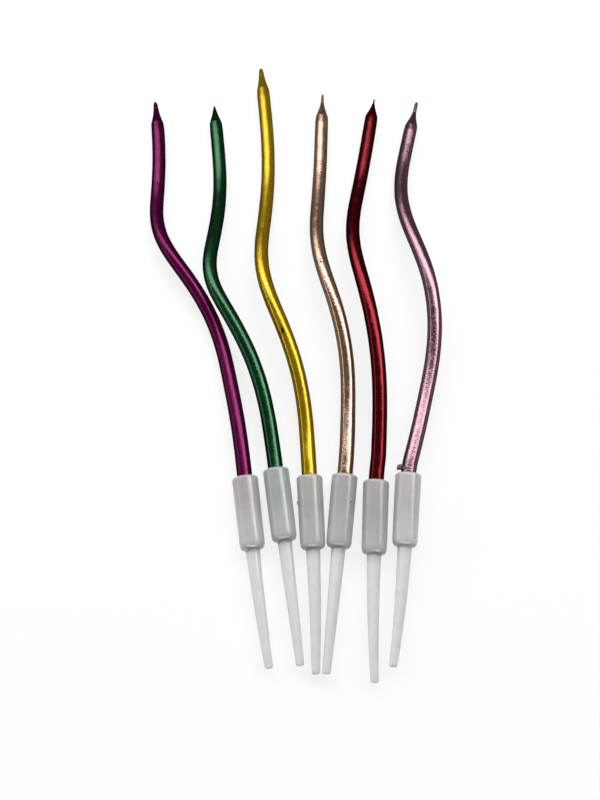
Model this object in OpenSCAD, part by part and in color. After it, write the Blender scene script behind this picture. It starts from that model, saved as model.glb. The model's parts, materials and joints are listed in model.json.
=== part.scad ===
// Set of six wavy party candles lying side by side, each one pushed into its own moulded cake spike.
// Units are millimetres. +Z is up, the candles lie on the plane z = 0 and point along +Y.

/* [Wax] */
// Diameter of the wax rod, and of the socket that takes it
wax_d = 4.8; // [3.5:0.1:6.5]
// Length of the shoulder that narrows the wax to the wick
shoulder_h = 9; // [4:0.1:14]
// Diameter of the wax where it ends round the wick
wax_tip_d = 1.7; // [1.5:0.05:2.4]
// Length along the rod that the bends and lifts are given as shares of
wave_len = 100; // [80:1:110]
// Height that the highest rod arches over the table
arch_h = 7.5; // [4:0.1:9]

/* [Wick] */
// Diameter of the wick across its corners
wick_d = 1.2; // [0.6:0.05:1.3]
// Room between the wick and the wax round it
wick_clear = 0.04; // [0.02:0.01:0.1]

/* [Holder] */
// Diameter of the cup at its mouth
cup_d = 7.9; // [7:0.1:10]
// Diameter that the cup loses from its mouth to its base
cup_draft = 0.4; // [0:0.05:1]
// Length of the cup
cup_h = 21.8; // [18:0.1:28]
// Depth of the socket
socket_h = 16; // [15.5:0.1:17]
// Room between the candle's foot and the socket's wall
foot_clear = 0.05; // [0.02:0.01:0.1]
// Gap between the rim and the wax above it
mouth_gap = 0.3; // [0.1:0.05:1]
// Rounding of the rim
rim_round = 0.8; // [0.2:0.05:0.9]
// Length over which the cup's base rounds in to the spike
base_h = 1.4; // [0.6:0.1:3]
// Fillet between the cup's base and the spike
root_round = 0.5; // [0.2:0.05:0.6]
// Diameter of the spike at the cup
spike_root_d = 4.2; // [3:0.1:4.6]
// Diameter of the spike at its tip
spike_tip_d = 2.6; // [1.2:0.1:3]
// Rounding of the spike's blunt end
spike_tip_round = 0.45; // [0.1:0.05:0.6]
// Diameter of the moulding gate's mark
gate_d = 1.2; // [0.6:0.1:2]
// Height of the gate's mark over the cup's side
gate_h = 0.3; // [0.1:0.05:0.5]
// Distance of the gate's mark below the rim
gate_drop = 8; // [3:0.5:14]

/* [Purple candle] */
// Place of the cup's mouth
purple_at = [-12.9, -48.3]; // [-120:0.1:120]
// Lean of the cup to the left
purple_lean = 7.5; // [-10:0.5:10]
// Wax above the mouth
purple_rise = 144.5; // [125:0.5:170]
// Wax inside the cup
purple_seat = 11; // [6:0.5:15]
// Length of the spike under the cup
purple_spike = 33.6; // [20:0.2:60]
// Warp of the spike to the left
purple_warp = -1.5; // [-4:0.5:4]
// Wick above the wax
purple_nub = 2.9; // [0.5:0.1:5]

/* [Green candle] */
// Place of the cup's mouth
green_at = [-3.6, -45.8]; // [-120:0.1:120]
// Lean of the cup to the left
green_lean = 7.5; // [-10:0.5:10]
// Wax above the mouth
green_rise = 140; // [125:0.5:170]
// Wax inside the cup
green_seat = 13; // [6:0.5:15]
// Length of the spike under the cup
green_spike = 35.2; // [20:0.2:60]
// Warp of the spike to the left
green_warp = 0; // [-4:0.5:4]
// Wick above the wax
green_nub = 1.5; // [0.5:0.1:5]

/* [Gold candle] */
// Place of the cup's mouth
gold_at = [6.6, -48]; // [-120:0.1:120]
// Lean of the cup to the left
gold_lean = 2.5; // [-10:0.5:10]
// Wax above the mouth
gold_rise = 154.5; // [125:0.5:170]
// Wax inside the cup
gold_seat = 14; // [6:0.5:15]
// Length of the spike under the cup
gold_spike = 34.8; // [20:0.2:60]
// Warp of the spike to the left
gold_warp = 1.5; // [-4:0.5:4]
// Wick above the wax
gold_nub = 3; // [0.5:0.1:5]

/* [Rose candle] */
// Place of the cup's mouth
rose_at = [17.3, -47.7]; // [-120:0.1:120]
// Lean of the cup to the left
rose_lean = -6; // [-10:0.5:10]
// Wax above the mouth
rose_rise = 141; // [125:0.5:170]
// Wax inside the cup
rose_seat = 13; // [6:0.5:15]
// Length of the spike under the cup
rose_spike = 35.4; // [20:0.2:60]
// Warp of the spike to the left
rose_warp = 0.5; // [-4:0.5:4]
// Wick above the wax
rose_nub = 3.4; // [0.5:0.1:5]

/* [Red candle] */
// Place of the cup's mouth
red_at = [26.7, -49.5]; // [-120:0.1:120]
// Lean of the cup to the left
red_lean = -3.5; // [-10:0.5:10]
// Wax above the mouth
red_rise = 142.5; // [125:0.5:170]
// Wax inside the cup
red_seat = 15; // [6:0.5:15]
// Length of the spike under the cup
red_spike = 35.6; // [20:0.2:60]
// Warp of the spike to the left
red_warp = -2; // [-4:0.5:4]
// Wick above the wax
red_nub = 1.8; // [0.5:0.1:5]

/* [Pink candle] */
// Place of the cup's mouth
pink_at = [36.5, -47.3]; // [-120:0.1:120]
// Lean of the cup to the left
pink_lean = -5.5; // [-10:0.5:10]
// Wax above the mouth
pink_rise = 138; // [125:0.5:170]
// Wax inside the cup
pink_seat = 15; // [6:0.5:15]
// Length of the spike under the cup
pink_spike = 34; // [20:0.2:60]
// Warp of the spike to the left
pink_warp = 2.5; // [-4:0.5:4]
// Wick above the wax
pink_nub = 4.3; // [0.5:0.1:5]

/* [Hidden] */
wax_r = wax_d / 2;
wick_r = wick_d / 2;
cup_r = cup_d / 2;
foot_r = wax_r - foot_clear;
// Overlaps that join the foot to the rod and carry the cuts past the surfaces
joint_lap = 1;
cut_lap = 0.5;
// Facets round the rod and round the wick, and stations along the rod
rod_sides = 14;
wick_sides = 6;
rod_steps = 34;
// Corner radius that gives the faceted rod the area of the round one
rod_r = wax_r * sqrt(2 * PI / (rod_sides * sin(360 / rod_sides)));

// One row for each candle:
// name, colour, place, lean, rise, seat, nub, spike, warp, turn of the gate's mark round the cup,
// bends as [distance from the mouth as a share of wave_len, heading to the left in degrees],
// lifts as [the same distance, height of the rod's underside over the table as a share of arch_h].
// A lift of 0 is where the rod rests. The purple rod stays low, so that it draws out under the green one.
CANDLES = [
    ["purple", "#7a1468", purple_at, purple_lean, purple_rise, purple_seat, purple_nub, purple_spike, purple_warp, -60,
        [[0, 0], [0.33, 5], [0.75, 28], [1.09, -7], [1.47, 1]],
        [[0.45, 0.08], [0.8, 0.48], [1.12, 0], [1.48, 0.13]]],
    ["green", "#0c5a34", green_at, green_lean, green_rise, green_seat, green_nub, green_spike, green_warp, 240,
        [[0, 0], [0.07, 1], [0.55, 22.2], [0.81, -13], [1.27, -1.2]],
        [[0.6, 1], [1.12, 0], [1.48, 0.13]]],
    ["gold", "#d0a818", gold_at, gold_lean, gold_rise, gold_seat, gold_nub, gold_spike, gold_warp, 172,
        [[0, 0], [0.09, 1], [0.54, 19], [0.89, -7], [1.41, 3]],
        [[0.58, 0.75], [1.12, 0], [1.58, 0.13]]],
    ["rose", "#b98d72", rose_at, rose_lean, rose_rise, rose_seat, rose_nub, rose_spike, rose_warp, 55,
        [[0, 0], [0.19, 4], [0.63, 22], [0.97, 2], [1.27, 4]],
        [[0.58, 0.68], [1.12, 0], [1.48, 0.13]]],
    ["red", "#8c1020", red_at, red_lean, red_rise, red_seat, red_nub, red_spike, red_warp, -60,
        [[0, 0], [0.04, -5], [0.11, 0], [0.69, 15.2], [1.03, -7.6], [1.39, -5.6]],
        [[0.6, 0.68], [1.12, 0], [1.48, 0.13]]],
    ["pink", "#c090a8", pink_at, pink_lean, pink_rise, pink_seat, pink_nub, pink_spike, pink_warp, 240,
        [[0, 0], [0.04, -11], [0.25, -8.5], [0.81, 20.8], [1.21, -7], [1.37, -8]],
        [[0.65, 0.75], [1.18, 0], [1.48, 0.13]]]
];

function colour(c) = c[1];
function place(c) = c[2];
function lean(c) = c[3];
function rise(c) = c[4];
function seat(c) = c[5];
function nub(c) = c[6];
function spike_h(c) = c[7];
function warp(c) = c[8];
function gate_turn(c) = c[9];
function bends(c) = [for (q = c[10]) [q[0] * wave_len, q[1]]];
function lifts(c) = concat([[0, cup_r - wax_r]], [for (q = c[11]) [q[0] * wave_len, q[1] * arch_h]]);

// Value at distance s in a table of [distance, value], level at each row and eased between rows
function ease(t) = t * t * (3 - 2 * t);
function row(table, s, i = 0) = i > len(table) - 3 || s < table[i + 1][0] ? i : row(table, s, i + 1);
function eased(table, s) =
    let (a = table[row(table, s)], b = table[row(table, s) + 1])
    a[1] + (b[1] - a[1]) * ease(min(1, max(0, (s - a[0]) / (b[0] - a[0]))));

// Centreline at the given distances along a candle, from a start on the cup's axis
function step_to(c, p, a, b) =
    let (z = wax_r + eased(lifts(c), b), turn = eased(bends(c), (a + b) / 2))
    let (run = sqrt((b - a) * (b - a) - (z - p.z) * (z - p.z)))
    [p.x - run * sin(turn), p.y + run * cos(turn), z];
function centreline(c, stations) =
    [for (i = 0, p = [0, stations[0], cup_r]; i < len(stations);
        i = i + 1, p = i < len(stations) ? step_to(c, p, stations[i - 1], stations[i]) : p) p];

// Ring of points round point i of a line, square to the line
function unit(v) = v / norm(v);
function ring(line, i, r, sides) =
    let (along = unit(line[min(i + 1, len(line) - 1)] - line[max(i - 1, 0)]))
    let (side = unit(cross(along, [0, 0, 1])), over = cross(side, along))
    [for (k = [0 : sides - 1]) line[i] + r * (cos(360 * k / sides) * side + sin(360 * k / sides) * over)];

// Solid rod along a line, with one radius for each point
module rod(line, radii, sides) {
    last = (len(line) - 1) * sides;
    walls = [for (i = [0 : len(line) - 2]) for (k = [0 : sides - 1])
        let (a = i * sides + k, b = i * sides + (k + 1) % sides)
        each [[a, b + sides, a + sides], [a, b, b + sides]]];
    ends = [[for (k = [0 : sides - 1]) sides - 1 - k], [for (k = [0 : sides - 1]) last + k]];
    polyhedron([for (i = [0 : len(line) - 1]) each ring(line, i, radii[i], sides)], concat(walls, ends));
}

// Stations from the mouth to the shoulder, and the shoulder's own as [share of its length, share of the taper]
shoulder_curve = [[0.15, 0.08], [0.27, 0.15], [0.4, 0.33], [0.6, 0.64], [0.8, 0.9], [1, 1]];
function rod_stations(c) =
    let (top = rise(c) - shoulder_h)
    [for (i = [0 : rod_steps]) mouth_gap + (top - mouth_gap) * i / rod_steps];
function shoulder_stations(c) = [for (q = shoulder_curve) rise(c) - shoulder_h * (1 - q[0])];
function wax_stations(c) = concat(rod_stations(c), shoulder_stations(c));
function wax_radii(c) =
    concat([for (s = rod_stations(c)) rod_r], [for (q = shoulder_curve) rod_r + (wax_tip_d / 2 - rod_r) * q[1]]);
function wick_end(c) = rise(c) + nub(c);
// The wick runs from the foot's end to its own rounded end, through the stations of the wax
function wick_stations(c, past = 0) =
    concat([-seat(c) - past], wax_stations(c), [wick_end(c) - wick_r, wick_end(c)]);

module lay(c) {
    translate([place(c).x, place(c).y, 0])
        rotate(lean(c))
            children();
}

module along_cup() {
    translate([0, 0, cup_r])
        rotate([-90, 0, 0])
            children();
}

// Wax rod with a true round foot, drilled for the wick
module wax(c) {
    line = centreline(c, concat([0], wax_stations(c)));
    rod_line = [for (i = [1 : len(line) - 1]) line[i]];
    bored = wick_stations(c, cut_lap);
    color(colour(c))
        lay(c)
            difference() {
                union() {
                    rod(rod_line, wax_radii(c), rod_sides);
                    along_cup()
                        translate([0, 0, -seat(c)])
                            cylinder(h = seat(c) + mouth_gap + joint_lap, r = foot_r, $fn = 64);
                }
                rod(centreline(c, bored), [for (s = bored) wick_r + wick_clear / cos(180 / wick_sides)], wick_sides);
            }
}

// Wick from the foot's end to its rounded end above the wax
module wick(c) {
    stations = wick_stations(c);
    radii = [for (i = [0 : len(stations) - 1]) i < len(stations) - 1 ? wick_r : wick_r / 2];
    color("ivory")
        lay(c)
            rod(centreline(c, stations), radii, wick_sides);
}

// Points of a round corner, from angle a to angle b about its centre, with one radius across and one along
arc_steps = 5;
function arc(x, y, rx, ry, a, b) =
    [for (i = [0 : arc_steps]) let (t = a + (b - a) * i / arc_steps) [x + rx * cos(t), y + ry * sin(t)]];

// Outlines of the cup and of the spike on one side of their axis, with the rim and the cup's base at height 0
cup_base_r = cup_r - cup_draft / 2;
spike_root_r = spike_root_d / 2;
spike_tip_r = spike_tip_d / 2;
// The fillet's foot is sunk in the spike, so that it holds a warped spike all round
fillet_sink = 0.08;
fillet_r = spike_root_r + root_round - fillet_sink;
cup_outline = concat(
    [[0, -cup_h - root_round]],
    arc(fillet_r, -cup_h - root_round, root_round, root_round, 180, 105),
    arc(fillet_r, -cup_h + base_h, cup_base_r - fillet_r, base_h, -90, 0),
    arc(cup_r - rim_round, -rim_round, rim_round, rim_round, 0, 90),
    [[0, 0]]
);
function spike_outline(c) = concat(
    [[0, -spike_h(c)]],
    arc(spike_tip_r - spike_tip_round, -spike_h(c) + spike_tip_round, spike_tip_round, spike_tip_round, -90, 0),
    [[spike_root_r, 0], [spike_root_r, joint_lap], [0, joint_lap]]
);

// One-piece holder: cup with a blind socket, solid tapered spike and the gate's mark on the cup's side
module holder(c) {
    color("whitesmoke")
        lay(c)
            along_cup()
                difference() {
                    union() {
                        rotate_extrude($fn = 64)
                            polygon(cup_outline);
                        translate([0, 0, -cup_h])
                            rotate([0, warp(c), 0])
                                rotate_extrude($fn = 64)
                                    polygon(spike_outline(c));
                        rotate(-gate_turn(c))
                            translate([0, 0, -gate_drop])
                                rotate([0, 90, 0])
                                    cylinder(h = cup_r + gate_h, d = gate_d, $fn = 24);
                    }
                    translate([0, 0, -socket_h])
                        cylinder(h = socket_h + cut_lap, r = wax_r, $fn = 64);
                }
}

for (c = CANDLES) {
    wax(c);
    wick(c);
    holder(c);
}
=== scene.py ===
import json
import math

import bmesh
import bpy
import numpy as np
from mathutils import Matrix, Quaternion, Vector, noise


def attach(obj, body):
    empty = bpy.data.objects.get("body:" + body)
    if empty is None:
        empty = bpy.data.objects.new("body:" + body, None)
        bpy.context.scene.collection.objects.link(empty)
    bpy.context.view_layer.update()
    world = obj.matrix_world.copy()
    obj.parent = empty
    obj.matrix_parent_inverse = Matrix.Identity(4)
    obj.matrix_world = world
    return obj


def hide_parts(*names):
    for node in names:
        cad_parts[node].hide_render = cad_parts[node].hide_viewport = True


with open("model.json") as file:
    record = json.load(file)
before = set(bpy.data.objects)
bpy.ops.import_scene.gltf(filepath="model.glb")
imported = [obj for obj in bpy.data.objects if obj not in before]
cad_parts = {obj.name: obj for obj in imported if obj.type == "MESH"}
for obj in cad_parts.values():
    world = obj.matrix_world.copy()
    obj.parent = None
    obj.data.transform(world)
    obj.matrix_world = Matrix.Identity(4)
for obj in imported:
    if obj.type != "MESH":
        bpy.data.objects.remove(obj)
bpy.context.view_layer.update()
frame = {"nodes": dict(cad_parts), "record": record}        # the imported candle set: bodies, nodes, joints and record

scene = bpy.context.scene
scene.view_settings.view_transform = "Standard"
mm = 0.001
candleNames = ["purple", "green", "gold", "rose", "red", "pink"]
print("frame loaded:", len(frame["nodes"]), "nodes")

# camera at the photograph's angle, sizes in mm
cameraSetup = {
    "elevation": 70, "distance": 250, "target": (3.75, -23.4, 4), "lens": 36, "sensor": 36, "clipStart": 10,
}


def addCamera(setup):
    data = bpy.data.cameras.new("camera")
    data.lens = setup["lens"]
    data.sensor_width = setup["sensor"]
    data.clip_start = setup["clipStart"] * mm
    cam = bpy.data.objects.new("camera", data)
    scene.collection.objects.link(cam)
    tilt = math.radians(setup["elevation"])
    back = Vector((0, -math.cos(tilt), math.sin(tilt))) * setup["distance"]
    cam.location = (Vector(setup["target"]) + back) * mm
    cam.rotation_euler = (math.pi / 2 - tilt, 0, 0)
    scene.camera = cam


addCamera(cameraSetup)


def grey(level):
    return (level, level, level, 1)


# node helpers
def addNode(tree, kind, values=None, **settings):
    node = tree.nodes.new(kind)
    for key, value in settings.items():
        setattr(node, key, value)
    for key, value in (values or {}).items():
        node.inputs[key].default_value = value
    return node


def newMaterial(name, values):
    mat = bpy.data.materials.new(name)
    mat.use_nodes = True
    tree = mat.node_tree
    tree.nodes.clear()
    out = addNode(tree, "ShaderNodeOutputMaterial")
    shader = addNode(tree, "ShaderNodeBsdfPrincipled", values)
    tree.links.new(shader.outputs["BSDF"], out.inputs["Surface"])
    return mat, tree, shader


def newGroup(name, inputs, outputs):
    tree = bpy.data.node_groups.new(name, "ShaderNodeTree")
    for label, kind, value in inputs:
        tree.interface.new_socket(label, in_out="INPUT", socket_type=kind).default_value = value
    for label, kind in outputs:
        tree.interface.new_socket(label, in_out="OUTPUT", socket_type=kind)
    return tree, addNode(tree, "NodeGroupInput"), addNode(tree, "NodeGroupOutput")


# surface grain shared by all finishes: fine flake, drawn out across the rods, and a longer drift;
# centred brings the noise to a swing round zero
grainNoise = {
    "flake": {"Detail": 3, "Roughness": 0.6},
    "stretch": {"Scale": (0.45, 1, 0.45)},
    "drift": {"Scale": 320, "Detail": 3, "Roughness": 0.55},
    "centred": {"From Min": 0.3, "From Max": 0.7, "To Min": -1, "To Max": 1},
}


def makeGrainGroup(look):
    tree, given, result = newGroup(
        "surfaceGrain",
        [("Colour", "NodeSocketColor", (1, 1, 1, 1)), ("Flake", "NodeSocketFloat", 0.2),
         ("Roughness", "NodeSocketFloat", 0.25), ("Drift", "NodeSocketFloat", 0.1),
         ("Grain per metre", "NodeSocketFloat", 2200)],
        [("Colour", "NodeSocketColor"), ("Roughness", "NodeSocketFloat"), ("Height", "NodeSocketFloat")],
    )
    links = tree.links
    coords = addNode(tree, "ShaderNodeTexCoord")
    stretch = addNode(tree, "ShaderNodeMapping", look["stretch"])
    flake = addNode(tree, "ShaderNodeTexNoise", look["flake"])
    links.new(coords.outputs["Object"], stretch.inputs["Vector"])
    links.new(stretch.outputs["Vector"], flake.inputs["Vector"])
    links.new(given.outputs["Grain per metre"], flake.inputs["Scale"])
    drift = addNode(tree, "ShaderNodeTexNoise", look["drift"])
    links.new(coords.outputs["Object"], drift.inputs["Vector"])

    # colour swings round the given one, by flake
    swing = addNode(tree, "ShaderNodeMapRange", look["centred"])
    links.new(flake.outputs["Fac"], swing.inputs["Value"])
    gain = addNode(tree, "ShaderNodeMath", {2: 1}, operation="MULTIPLY_ADD")
    links.new(swing.outputs["Result"], gain.inputs[0])
    links.new(given.outputs["Flake"], gain.inputs[1])
    tint = addNode(tree, "ShaderNodeVectorMath", operation="SCALE")
    links.new(given.outputs["Colour"], tint.inputs[0])
    links.new(gain.outputs["Value"], tint.inputs["Scale"])
    links.new(tint.outputs["Vector"], result.inputs["Colour"])

    # roughness drifts along the piece
    sway = addNode(tree, "ShaderNodeMapRange", look["centred"])
    links.new(drift.outputs["Fac"], sway.inputs["Value"])
    rough = addNode(tree, "ShaderNodeMath", operation="MULTIPLY_ADD", use_clamp=True)
    links.new(sway.outputs["Result"], rough.inputs[0])
    links.new(given.outputs["Drift"], rough.inputs[1])
    links.new(given.outputs["Roughness"], rough.inputs[2])
    links.new(rough.outputs["Value"], result.inputs["Roughness"])
    links.new(flake.outputs["Fac"], result.inputs["Height"])
    return tree


grainGroup = makeGrainGroup(grainNoise)


# a material whose colour, roughness and relief come from the grain; relief in mm
def makeGrained(name, values, grainValues, relief):
    mat, tree, shader = newMaterial(name, values)
    grain = addNode(tree, "ShaderNodeGroup", node_tree=grainGroup)
    for label, value in grainValues.items():
        grain.inputs[label].default_value = value
    bump = addNode(tree, "ShaderNodeBump", {"Strength": 1, "Distance": relief * mm})
    tree.links.new(grain.outputs["Colour"], shader.inputs["Base Color"])
    tree.links.new(grain.outputs["Roughness"], shader.inputs["Roughness"])
    tree.links.new(grain.outputs["Height"], bump.inputs["Height"])
    tree.links.new(bump.outputs["Normal"], shader.inputs["Normal"])
    return mat, tree, grain


# colour is the flake under the coat; tint is the coat, which deepens the colour towards the rod's sides
lacquerLooks = {
    "purple": {"colour": (0.62, 0.003, 0.29), "tint": (0.19, 0.155, 0.185),
               "metal": 0.45, "ior": 2.1, "rough": 0.19, "grain": 0.035},
    "green": {"colour": (0.002, 0.36, 0.1), "tint": (0.16, 0.195, 0.17),
              "metal": 0.6, "ior": 5, "rough": 0.17, "grain": 0.06},
    "gold": {"colour": (1, 0.7, 0.01), "tint": (0.42, 0.375, 0.25),
             "metal": 0.6, "ior": 2.5, "rough": 0.16, "grain": 0.05},
    "rose": {"colour": (0.88, 0.49, 0.31), "tint": (0.4, 0.37, 0.34),
             "metal": 0.5, "ior": 10, "rough": 0.14, "grain": 0.05},
    "red": {"colour": (0.76, 0.003, 0.035), "tint": (0.175, 0.16, 0.165),
            "metal": 0.75, "ior": 3.2, "rough": 0.14, "grain": 0.03},
    "pink": {"colour": (0.74, 0.31, 0.43), "tint": (0.305, 0.268, 0.289),
             "metal": 0.52, "ior": 12, "rough": 0.13, "grain": 0.05},
}
lacquerCoat = {"Coat Weight": 1, "Coat IOR": 1.01, "Coat Roughness": 0.1}
lacquerGrain = {"Flake": 0.25, "Drift": 0.06, "Grain per metre": 2200}
# nearly black paint for the pits' dents
pitBlack = (0.012, 0.008, 0.006, 1)


def makeLacquer(name, look):
    values = {**lacquerCoat, "Coat Tint": (*look["tint"], 1), "Metallic": look["metal"], "IOR": look["ior"]}
    grainValues = {**lacquerGrain, "Roughness": look["rough"]}
    mat, tree, grain = makeGrained(name + "Lacquer", values, grainValues, look["grain"])
    # the pits are painted nearly black in their dents
    pit = addNode(tree, "ShaderNodeAttribute", attribute_name="pit")
    pitPaint = addNode(tree, "ShaderNodeMix", data_type="RGBA")
    pitPaint.inputs["A"].default_value = (*look["colour"], 1)
    pitPaint.inputs["B"].default_value = pitBlack
    tree.links.new(pit.outputs["Fac"], pitPaint.inputs["Factor"])
    tree.links.new(pitPaint.outputs["Result"], grain.inputs["Colour"])
    return mat


lacquers = {name: makeLacquer(name, lacquerLooks[name]) for name in candleNames}

# thick drops of the pink lacquer, nearly black; the bare wax of the foot's end, the cotton of the wick's foot
# and the waxy end of the wick
plainLooks = {
    "pinkDrop": {
        "values": {"Metallic": 0.5, "Coat Weight": 1, "Coat Roughness": 0.08,
                   "Coat Tint": (0.2, 0.16, 0.18, 1)},
        "grainValues": {"Colour": (0.3, 0.09, 0.16, 1), "Flake": 0.25, "Roughness": 0.2,
                        "Grain per metre": 2200},
        "relief": 0.03,
    },
    "bareWax": {
        "values": {"Subsurface Weight": 0.5, "Subsurface Radius": (1, 0.8, 0.6), "Subsurface Scale": 0.001},
        "grainValues": {"Colour": (0.8, 0.74, 0.62, 1), "Flake": 0.1, "Roughness": 0.45,
                        "Grain per metre": 1500},
        "relief": 0.03,
    },
    "wickCotton": {
        "values": {},
        "grainValues": {"Colour": (0.72, 0.68, 0.58, 1), "Flake": 0.15, "Roughness": 0.85,
                        "Grain per metre": 5000},
        "relief": 0.08,
    },
    "wickEnd": {
        "values": {"Coat Weight": 0.5, "Coat Roughness": 0.2},
        "grainValues": {"Colour": (0.05, 0.055, 0.045, 1), "Flake": 0.3, "Roughness": 0.4,
                        "Grain per metre": 4000},
        "relief": 0.04,
    },
}
plain = {name: makeGrained(name, **look)[0] for name, look in plainLooks.items()}
print("lacquers, wax and cotton made")

# rings of the solid wicks: corners to a ring, and the weld in mm
solidWick = {"corners": 6, "weld": 0.02}


# the centreline of a candle: the middles of the rings of its solid wick, from the foot up
def wickLine(name):
    bm = bmesh.new()
    bm.from_mesh(frame["nodes"]["wick_" + name].data)
    bmesh.ops.remove_doubles(bm, verts=bm.verts, dist=solidWick["weld"] * mm)
    points = sorted((v.co.copy() for v in bm.verts), key=lambda p: p.y)
    bm.free()
    corners = solidWick["corners"]
    rings = [points[i:i + corners] for i in range(0, len(points), corners)]
    return np.array([sum(ring, Vector()) / len(ring) for ring in rings]) / mm


# how far each point lies along the line
def alongLine(points):
    return np.concatenate([[0], np.cumsum(np.linalg.norm(np.diff(points, axis=0), axis=1))])


# a smooth line through the points, at the given distances along them
def smoothLine(points, distances):
    steps = np.diff(points, axis=0)
    gaps = np.linalg.norm(steps, axis=1)
    along = alongLine(points)
    slopes = steps / gaps[:, None]
    weights = (gaps[:-1] + gaps[1:])[:, None]
    inner = (gaps[:-1, None] * slopes[1:] + gaps[1:, None] * slopes[:-1]) / weights
    tangents = np.vstack([slopes[:1], inner, slopes[-1:]])
    i = np.clip(np.searchsorted(along, distances, side="right") - 1, 0, len(gaps) - 1)
    h = gaps[i][:, None]
    t = (distances[:, None] - along[i][:, None]) / h
    return (points[i] * (2 * t**3 - 3 * t**2 + 1) + points[i + 1] * (3 * t**2 - 2 * t**3)
            + tangents[i] * h * (t**3 - 2 * t**2 + t) + tangents[i + 1] * h * (t**3 - t**2))


# frame of a ring: X to the rod's right, Y down, Z along the rod
def ringMatrix(line, i):
    along = Vector(line[min(i + 1, len(line) - 1)] - line[max(i - 1, 0)]).normalized()
    side = along.cross(Vector((0, 0, 1))).normalized()
    matrix = Matrix((side, along.cross(side), along)).transposed().to_4x4()
    matrix.translation = Vector(line[i])
    return matrix


# a grid wrapped round a line, with a radius for each ring, closed at both ends; weld in mm
def sweepRod(line, radii, sides, weld=0.001):
    bm = bmesh.new()
    steps = len(line) - 1
    bmesh.ops.create_grid(bm, x_segments=sides, y_segments=steps, size=0.5)
    rings = [ringMatrix(line, i) for i in range(len(line))]
    for v in bm.verts:
        turn = (v.co.x + 0.5) * 2 * math.pi
        i = round((v.co.y + 0.5) * steps)
        v.co = rings[i] @ Vector((radii[i] * math.cos(turn), radii[i] * math.sin(turn), 0))
    bmesh.ops.remove_doubles(bm, verts=bm.verts, dist=weld)
    bmesh.ops.holes_fill(bm, edges=[e for e in bm.edges if e.is_boundary], sides=0)
    bmesh.ops.recalc_face_normals(bm, faces=bm.faces)
    bm.normal_update()
    return bm


# a mesh in mm becomes a piece in metres
def addPiece(bm, name, body, materials, nodes=()):
    bmesh.ops.scale(bm, vec=(mm, mm, mm), verts=bm.verts)
    for face in bm.faces:
        face.smooth = True
    mesh = bpy.data.meshes.new(name)
    bm.to_mesh(mesh)
    bm.free()
    for material in materials:
        mesh.materials.append(material)
    piece = bpy.data.objects.new(name, mesh)
    scene.collection.objects.link(piece)
    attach(piece, body)
    if nodes:
        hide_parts(*nodes)


# wax rods and their wicks, sizes in mm
rodSize = {
    "radius": 2.4, "footRadius": 2.35, "footEdge": 0.25, "seatTaper": 0.3,
    "spacing": 0.35, "tipSpacing": 0.14, "sides": 64,
    "wickRadius": 0.6, "wickFoot": 0.1, "wickSpacing": 2, "wickLap": 0.15, "wickInset": 0.03, "wickSides": 64,
}
# each tip is a list of (mm below the wick's end, radius in mm)
tips = {
    "purple": [(0, 0.3), (0.15, 0.52), (0.5, 0.68), (0.95, 0.8), (1.9, 0.87), (2.75, 0.93), (3.6, 1.05),
               (5.4, 1.3), (6.25, 1.45), (7.1, 1.64), (8, 1.87), (8.85, 2.09), (9.5, 2.26), (9.7, 2.3),
               (10.6, 2.34), (12.5, 2.4)],
    "green": [(0, 0.08), (0.4, 0.25), (0.85, 0.44), (1.3, 0.57), (2.2, 0.75), (3, 0.92), (3.9, 1.12),
              (4.75, 1.36), (5.6, 1.63), (6.5, 1.9), (7.3, 2.12), (7.9, 2.27), (8.1, 2.3), (9, 2.34),
              (11, 2.4)],
    "gold": [(0, 0.35), (0.1, 0.58), (0.55, 0.8), (1, 0.87), (2.4, 1.01), (3.3, 1.13), (4.2, 1.22),
             (5.1, 1.34), (6, 1.48), (6.9, 1.65), (7.8, 1.87), (8.7, 2.07), (9.4, 2.25), (9.6, 2.29),
             (10.5, 2.33), (13, 2.4)],
    "rose": [(0, 0.2), (0.12, 0.38), (0.4, 0.48), (1.7, 0.53), (3, 0.6), (3.9, 0.67), (4.4, 0.74),
             (5.2, 0.91), (6.1, 1.14), (7, 1.35), (7.8, 1.61), (8.7, 1.88), (9.5, 2.14), (10, 2.27),
             (10.2, 2.3), (11.3, 2.35), (13.2, 2.4)],
    "red": [(0, 0.2), (0.15, 0.42), (0.45, 0.54), (0.9, 0.44), (1.3, 0.4), (1.8, 0.47), (2.2, 0.57),
            (3.1, 0.75), (4, 1), (4.9, 1.29), (5.8, 1.6), (6.6, 1.89), (7.5, 2.16), (7.9, 2.28),
            (8.1, 2.31), (9.2, 2.36), (11.2, 2.4)],
    "pink": [(0, 0.25), (0.2, 0.46), (0.4, 0.55), (0.85, 0.66), (1.3, 0.7), (3.5, 0.73), (4.4, 0.75),
             (5.3, 0.86), (6.2, 1.03), (7, 1.22), (7.9, 1.47), (8.8, 1.77), (9.6, 2.02), (10.4, 2.25),
             (10.6, 2.29), (11.6, 2.34), (13.2, 2.4)],
}
# length of bare wick at the tip, in mm
wickEndLength = {"purple": 0.35, "green": 0, "gold": 0.35, "rose": 0.5, "red": 1.3, "pink": 0.5}
# how far three of the rods sag above their cups, and the lengths over which they fall and rise again, in mm
sag = {"gold": (0.9, 16, 38), "rose": (1.3, 26, 38), "pink": (1.7, 34, 38)}
# an uneven skin, as a dipped rod has, sunk under the rod's true size: depth and size of its swells in mm
skin = {"depth": 0.1, "size": 3.5, "mean": 0.85, "swing": 0.3}
# pits in the coat: mm below the wick's end, degrees right of the top, then length, width and depth in mm
pits = {
    "purple": [(35.3, 4, 1.5, 0.5, 0.1)],
    "gold": [(110.2, -18, 2.2, 0.75, 0.15)],
    "rose": [(72.1, -14, 1.6, 0.7, 0.15), (79, -22, 0.6, 0.5, 0.1)],
}
# a pit's slope runs from reach inwards over fade, both in shares of its half size;
# heading is the mm of line to each side that give its direction
pitSlope = {"reach": 1.4, "fade": 0.6, "heading": 0.1}


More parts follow.
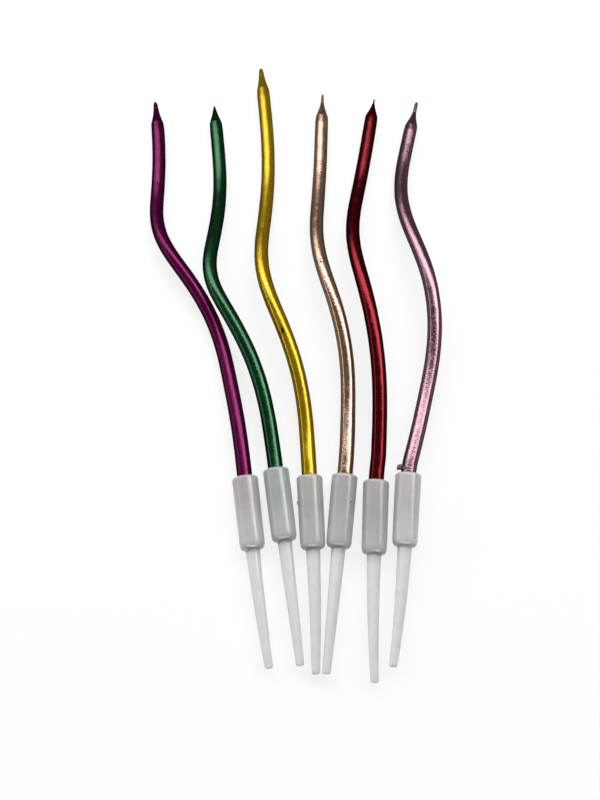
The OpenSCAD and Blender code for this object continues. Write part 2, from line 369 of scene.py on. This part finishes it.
def tipRadius(name, below):
    marks, radii = zip(*tips[name])
    return np.interp(below, marks, radii)


def sagLine(points, depth, fall, rise):
    above = np.append(0, alongLine(points[1:]))
    share = np.clip(above / fall, 0, 1) - np.clip((above - fall) / rise, 0, 1)
    points[:, 2] -= depth * np.sin(np.pi / 2 * share) ** 2


def unevenSkin(bm):
    for v in bm.verts:
        swell = noise.noise(v.co / skin["size"])
        v.co -= v.normal * skin["depth"] * (skin["mean"] + skin["swing"] * swell)


# dents, with a mask that paints them nearly black
def pressPits(bm, points, total, places):
    layer = bm.verts.layers.float.new("pit")
    for below, turn, length, width, deep in places:
        at = smoothLine(points, total - below + pitSlope["heading"] * np.array([-1, 0, 1]))
        ring = ringMatrix(at, 1) @ Matrix.Rotation(math.radians(turn), 4, "Z")
        back = ring.inverted()
        for v in bm.verts:
            spot = back @ v.co
            reach = math.hypot(2 * spot.x / width, 2 * spot.z / length)
            if spot.y < 0 and reach < pitSlope["reach"]:
                v[layer] = min(1, (pitSlope["reach"] - reach) / pitSlope["fade"])
                v.co -= v.normal * deep * v[layer]


# the line, its length and where along it the wax ends
def candleLine(name):
    points = wickLine(name)
    if name in sag:
        sagLine(points, *sag[name])
    total = alongLine(points)[-1]
    return points, total, total - alongLine(points[-3:])[-1]


def buildWax(name, points, total, end):
    edge, footRadius = rodSize["footEdge"], rodSize["footRadius"]
    seat = np.linalg.norm(points[1] - points[0])
    tipStart = total - tips[name][-1][0]
    distances = np.concatenate([
        [0, edge],
        np.arange(2 * edge, tipStart, rodSize["spacing"]),
        np.arange(tipStart, end, rodSize["tipSpacing"]),
        [end],
    ])
    foot = np.interp(distances, [0, edge, seat - rodSize["seatTaper"], seat],
                     [footRadius - edge, footRadius, footRadius, rodSize["radius"]])
    radii = np.minimum(foot, tipRadius(name, total - distances))
    bm = sweepRod(smoothLine(points, distances), radii, rodSize["sides"])
    unevenSkin(bm)
    pressPits(bm, points, total, pits.get(name, []))
    # the foot's end is bare wax
    for face in bm.faces:
        if len(face.verts) > 4 and face.calc_center_median().y < points[1][1]:
            face.material_index = 1
    addPiece(bm, "wax_" + name + "_rod", "candle_" + name,
             [lacquers[name], plain["bareWax"]], ["wax_" + name])


# the wick: cotton inside, coated from where the wax ends, bare at its own end
def buildWick(name, points, total, end):
    lap, inset, spacing = rodSize["wickLap"], rodSize["wickInset"], rodSize["wickSpacing"]
    distances = np.concatenate([
        [0, rodSize["wickFoot"]],
        np.arange(spacing, end - spacing / 2, spacing),
        [end - 2 * lap, end - lap],
        np.arange(end, total, rodSize["tipSpacing"]),
        [total],
    ])
    coated = tipRadius(name, total - distances)
    radii = np.where(distances < end, np.minimum(coated - inset, rodSize["wickRadius"]), coated)
    # just inside the wax the wick widens to meet its coat
    radii = np.where(np.isclose(distances, end - lap), coated - inset, radii)
    bm = sweepRod(smoothLine(points, distances), radii, rodSize["wickSides"])
    unevenSkin(bm)
    tip = Vector(points[-1])
    for face in bm.faces:
        middle = face.calc_center_median()
        if middle.y < points[1][1]:
            face.material_index = 1
        elif (middle - tip).length < wickEndLength[name]:
            face.material_index = 2
    addPiece(bm, "wick_" + name + "_dipped", "candle_" + name,
             [lacquers[name], plain["wickCotton"], plain["wickEnd"]], ["wick_" + name])


for name in candleNames:
    line = candleLine(name)
    buildWax(name, *line)
    buildWick(name, *line)
print("wax rods and wicks made")

# a run of lacquer that curled up against the pink cup's rim: points are mm right of the cup's axis, above
# the rim and above the table; radii are (mm along the run, radius in mm)
lacquerRun = {
    "points": [(-0.6, 1.0, 5.9), (-1.5, 1.1, 5.7), (-2.2, 1.5, 5.0), (-2.8, 1.5, 4.6), (-3.2, 1.0, 4.8),
               (-3.5, 0.5, 5.0)],
    "radii": [(0, 0.35), (0.9, 0.5), (1.5, 0.55), (2.1, 0.85), (2.6, 0.88), (3.1, 0.6), (3.5, 0.4),
              (3.8, 0.12)],
    "spacing": 0.08, "sides": 24,
}


def buildLacquerRun(run):
    line = wickLine("pink")
    axis = Vector(line[1] - line[0]).normalized()
    side = axis.cross(Vector((0, 0, 1)))
    points = []
    for x, y, z in run["points"]:
        spot = Vector(line[1]) + side * x + axis * y
        points.append((spot.x, spot.y, z))
    points = np.array(points)
    total = alongLine(points)[-1]
    distances = np.append(np.arange(0, total, run["spacing"]), total)
    marks, radii = zip(*run["radii"])
    share = total / marks[-1]
    bm = sweepRod(smoothLine(points, distances), np.interp(distances / share, marks, radii), run["sides"])
    addPiece(bm, "wax_pink_run", "candle_pink", [plain["pinkDrop"]])


buildLacquerRun(lacquerRun)
print("run of lacquer made")

# holders: sizes in mm; the base, its fillet and the spike's end are softer than the part's,
# and the seam and the rim's lead-in are added here
holderSize = {
    "cupRadius": 3.95, "draft": 0.2, "cupLength": 21.8, "rimRound": 0.8, "baseLength": 2.2, "rootRound": 0.8,
    "socketRadius": 2.4, "socketDepth": 16, "leadIn": 0.15, "socketTop": 1,
    "spikeRoot": 2.1, "spikeTip": 1.2, "tipRound": 0.7, "trim": 0.05,
    "seam": 0.012, "seamHalf": 0.12, "weld": 0.005,
    "gateDrop": 8, "gateSink": 0.2, "gateFoot": 0.65, "gateTop": 0.5, "gateLength": 0.8,
    "waxBlend": 8, "spikeBlend": 4, "spikeLead": 0.5,
}
# points along each part of the outline, and sides round the holder and its gate
holderSteps = {
    "tip": 5, "spike": 40, "root": 6, "base": 9, "cup": 40, "rim": 7, "socket": 16, "round": 96, "gate": 20,
}
# where each gate stands: degrees from the cup's right side, up over its top
gateTurns = {"purple": -60, "green": 240, "gold": 172, "rose": 55, "red": -60, "pink": 240}
# colour of the plastic where the wax sits in it, with painted shade and the wax's colour painted as if seen through
# the wall, and of the solid base below;
# the blends in holderSize are the lengths over which one tone goes into the next
cupTones = {
    "purple": {"shadedByWax": (0.44, 0.41, 0.44), "clear": (0.52, 0.51, 0.53)},
    "green": {"shadedByWax": (0.38, 0.41, 0.4), "clear": (0.47, 0.48, 0.48)},
    "gold": {"shadedByWax": (0.43, 0.41, 0.4), "clear": (0.48, 0.47, 0.46)},
    "rose": {"shadedByWax": (0.42, 0.4, 0.4), "clear": (0.47, 0.46, 0.46)},
    "red": {"shadedByWax": (0.42, 0.4, 0.42), "clear": (0.48, 0.47, 0.48)},
    "pink": {"shadedByWax": (0.5, 0.48, 0.51), "clear": (0.56, 0.56, 0.57)},
}
# the spike's paler tone is painted light, as if light came through the thin plastic
spikeLitTone = (0.72, 0.72, 0.73)


def makeHolderPlastic():
    mat, tree, grain = makeGrained("holderPlastic", {
        "Subsurface Weight": 0.3, "Subsurface Radius": (1, 1, 1), "Subsurface Scale": 0.001,
        "Transmission Weight": 0.12, "IOR": 1.5,
    }, {"Flake": 0.03, "Roughness": 0.18, "Drift": 0.04, "Grain per metre": 600}, relief=0.008)
    # the shade attribute carries the plastic's tones, with painted shade over the seated wax and painted light on the
    # spike
    shade = addNode(tree, "ShaderNodeAttribute", attribute_name="shade")
    tree.links.new(shade.outputs["Color"], grain.inputs["Colour"])
    return mat


holderPlastic = makeHolderPlastic()


def arcPoints(x, y, rx, ry, start, stop, count):
    angles = np.radians(np.linspace(start, stop, count))
    return [(x + rx * math.cos(a), y + ry * math.sin(a)) for a in angles]


# outline from the middle of the spike's end, up the outside, over the rim and down the socket; rim at 0
def holderOutline(size, steps, spikeLength):
    base = -size["cupLength"]
    end = base - spikeLength
    baseRadius = size["cupRadius"] - size["draft"]
    fillet = size["spikeRoot"] + size["rootRound"]
    tipRound, rimRound, rootRound = size["tipRound"], size["rimRound"], size["rootRound"]
    outline = [(0, end)]
    low, high = end + tipRound, base - rootRound
    outline += arcPoints(size["spikeTip"] - tipRound, low, tipRound, tipRound, -90, 0, steps["tip"])
    taper = size["spikeRoot"] - size["spikeTip"]
    for share in np.linspace(0, 1, steps["spike"])[1:-1]:
        outline.append((size["spikeTip"] + taper * share, low + (high - low) * share))
    # the fillet stops just short of where the base's own arc starts
    outline += arcPoints(fillet, high, rootRound, rootRound, 180, 95, steps["root"])
    low, high, seam = base + size["baseLength"], -rimRound, -size["gateDrop"]
    outline += arcPoints(fillet, low, baseRadius - fillet, size["baseLength"], -90, 0, steps["base"])
    seamLines = [seam - size["seamHalf"], seam, seam + size["seamHalf"]]
    for y in sorted([*np.linspace(low, high, steps["cup"])[1:-1], *seamLines]):
        stand = size["seam"] if y == seam else 0
        outline.append((baseRadius + size["draft"] * (y - low) / (high - low) + stand, y))
    outline += arcPoints(size["cupRadius"] - rimRound, -rimRound, rimRound, rimRound, 0, 90, steps["rim"])
    outline += [(size["socketRadius"] + size["leadIn"], 0), (size["socketRadius"], -size["leadIn"])]
    for y in np.linspace(-size["socketTop"], -size["socketDepth"], steps["socket"]):
        outline.append((size["socketRadius"], y))
    outline.append((0, -size["socketDepth"]))
    return outline


# the gate's mark stands on the seam
def addGate(bm, size, sides, turn):
    stand = (Matrix.Rotation(math.radians(-turn), 4, "Y")
             @ Matrix.Translation((size["cupRadius"] - size["gateSink"], -size["gateDrop"], 0))
             @ Matrix.Rotation(math.pi / 2, 4, "Y"))
    bmesh.ops.create_cone(bm, segments=sides, cap_ends=True, radius1=size["gateFoot"],
                          radius2=size["gateTop"], depth=size["gateLength"], matrix=stand)


def blend(low, high, share):
    share = min(1, max(0, share))
    return [a + (b - a) * share for a, b in zip(low, high)]


def buildHolder(name, size, steps):
    # the axis, the rim and the spike's line come from the part
    points = wickLine(name)
    axis = Vector(points[1] - points[0]).normalized()
    rim = max(v.co.dot(axis) for v in frame["nodes"]["holder_" + name].data.vertices) / mm
    mouth = Vector(points[0]) + axis * (rim - Vector(points[0]).dot(axis))
    seat = (mouth - Vector(points[0])).length
    base = mouth - axis * size["cupLength"]
    mount = next(m for m in frame["record"]["mounts"] if m["name"] == "spike_" + name)
    spike = Vector(mount["pos_m"]) / mm - base
    warp = spike.to_2d().angle_signed(-axis.to_2d())

    bm = bmesh.new()
    outline = holderOutline(size, steps, spike.length - size["trim"])
    verts = [bm.verts.new((r, y, 0)) for r, y in outline]
    edges = [bm.edges.new(pair) for pair in zip(verts, verts[1:])]
    bmesh.ops.spin(bm, geom=verts + edges, axis=(0, 1, 0), cent=(0, 0, 0), angle=2 * math.pi,
                   steps=steps["round"], use_merge=True)
    bmesh.ops.remove_doubles(bm, verts=bm.verts, dist=size["weld"])
    addGate(bm, size, steps["gate"], gateTurns[name])
    bmesh.ops.recalc_face_normals(bm, faces=bm.faces)

    # painted shade and the wax's painted colour where the wax sits in the cup, painted light on the thin spike, which
    # is the palest and bends away from the cup's axis
    shade = bm.verts.layers.float_color.new("shade")
    tone = cupTones[name]
    for v in bm.verts:
        below = -size["cupLength"] - v.co.y
        cup = blend(tone["shadedByWax"], tone["clear"], 0.5 + (-seat - v.co.y) / size["waxBlend"])
        v[shade] = (*blend(cup, spikeLitTone, (below + size["spikeLead"]) / size["spikeBlend"]), 1)
        if below > 0:
            v.co.x += below * below / spike.length * math.sin(warp)
            v.co.y = -size["cupLength"] - below * math.cos(warp)
    lay = Matrix.Translation(mouth) @ Matrix.Rotation(math.atan2(-axis.x, axis.y), 4, "Z")
    bmesh.ops.transform(bm, matrix=lay, verts=bm.verts)
    addPiece(bm, "holder_" + name + "_moulded", "holders", [holderPlastic], ["holder_" + name])


for name in candleNames:
    buildHolder(name, holderSize, holderSteps)
print("holders made")

# white floor: paper that keeps the shadows, lifted where it is seen, as the background of the photograph is
floorLook = {"paper": 0.9, "seenPaper": 0.2, "seenLift": 0.78, "size": 8}


def addFloor(look):
    mat, tree, shader = newMaterial("floorPaper", {
        "Roughness": 0.9, "Specular IOR Level": 0.1, "Emission Color": (1, 1, 1, 1)})
    path = addNode(tree, "ShaderNodeLightPath")
    seen = path.outputs["Is Camera Ray"]
    for ray in ["Is Glossy Ray", "Is Transmission Ray"]:
        either = addNode(tree, "ShaderNodeMath", operation="MAXIMUM")
        tree.links.new(seen, either.inputs[0])
        tree.links.new(path.outputs[ray], either.inputs[1])
        seen = either.outputs["Value"]
    paper = addNode(tree, "ShaderNodeMix", data_type="RGBA")
    paper.inputs["A"].default_value = grey(look["paper"])
    paper.inputs["B"].default_value = grey(look["seenPaper"])
    lift = addNode(tree, "ShaderNodeMath", {1: look["seenLift"]}, operation="MULTIPLY")
    tree.links.new(seen, paper.inputs["Factor"])
    tree.links.new(seen, lift.inputs[0])
    tree.links.new(paper.outputs["Result"], shader.inputs["Base Color"])
    tree.links.new(lift.outputs["Value"], shader.inputs["Emission Strength"])
    bm = bmesh.new()
    bmesh.ops.create_grid(bm, x_segments=1, y_segments=1, size=look["size"])
    mesh = bpy.data.meshes.new("floor")
    bm.to_mesh(mesh)
    bm.free()
    mesh.materials.append(mat)
    floor = bpy.data.objects.new("floor", mesh)
    scene.collection.objects.link(floor)


addFloor(floorLook)

# softboxes and white cards as seen from the candles: direction and roll about it in degrees, sizes in metres;
# a card shows in the gloss and gives no other light
boxDistance = 0.7
softboxes = {
    "far": {"azimuth": 0, "elevation": 59, "roll": -14, "width": 1.55, "height": 0.28, "watts": 9.4},
    "left": {"azimuth": -78, "elevation": 20, "roll": 0, "width": 0.8, "height": 0.04, "watts": 1},
    "rightCard": {"azimuth": 72, "elevation": 38, "roll": 0, "width": 0.4, "height": 0.16, "watts": 1.1,
                  "card": True},
    "nearCard": {"azimuth": 180, "elevation": 42, "roll": 0, "width": 1.2, "height": 0.16, "watts": 7,
                 "card": True},
}


def addSoftbox(name, box):
    data = bpy.data.lights.new(name, "AREA")
    data.shape = "RECTANGLE"
    data.size = box["width"]
    data.size_y = box["height"]
    data.energy = box["watts"]
    lamp = bpy.data.objects.new(name, data)
    scene.collection.objects.link(lamp)
    lamp.visible_diffuse = not box.get("card", False)
    turn = math.radians(box["azimuth"])
    lift = math.radians(box["elevation"])
    away = Vector((math.sin(turn) * math.cos(lift), math.cos(turn) * math.cos(lift), math.sin(lift)))
    lamp.location = away * boxDistance
    roll = Quaternion((0, 0, 1), math.radians(box["roll"]))
    lamp.rotation_euler = (away.to_track_quat("Z", "Y") @ roll).to_euler()


for name, box in softboxes.items():
    addSoftbox(name, box)

# a studio that is pale at the horizon and dims overhead: (share of the way up, level)
studio = [(0, 0.5), (0.45, 0.2), (0.75, 0.11), (1, 0.1)]


def addStudio(levels):
    world = bpy.data.worlds.new("studio")
    scene.world = world
    world.use_nodes = True
    tree = world.node_tree
    coords = addNode(tree, "ShaderNodeTexCoord")
    height = addNode(tree, "ShaderNodeSeparateXYZ")
    ramp = addNode(tree, "ShaderNodeValToRGB")
    stops = ramp.color_ramp.elements
    for share, level in levels[1:-1]:
        stops.new(share).color = grey(level)
    for stop, (share, level) in zip([stops[0], stops[-1]], [levels[0], levels[-1]]):
        stop.position = share
        stop.color = grey(level)
    tree.links.new(coords.outputs["Generated"], height.inputs["Vector"])
    tree.links.new(height.outputs["Z"], ramp.inputs["Fac"])
    tree.links.new(ramp.outputs["Color"], tree.nodes["Background"].inputs["Color"])


addStudio(studio)
print("floor and lights made")
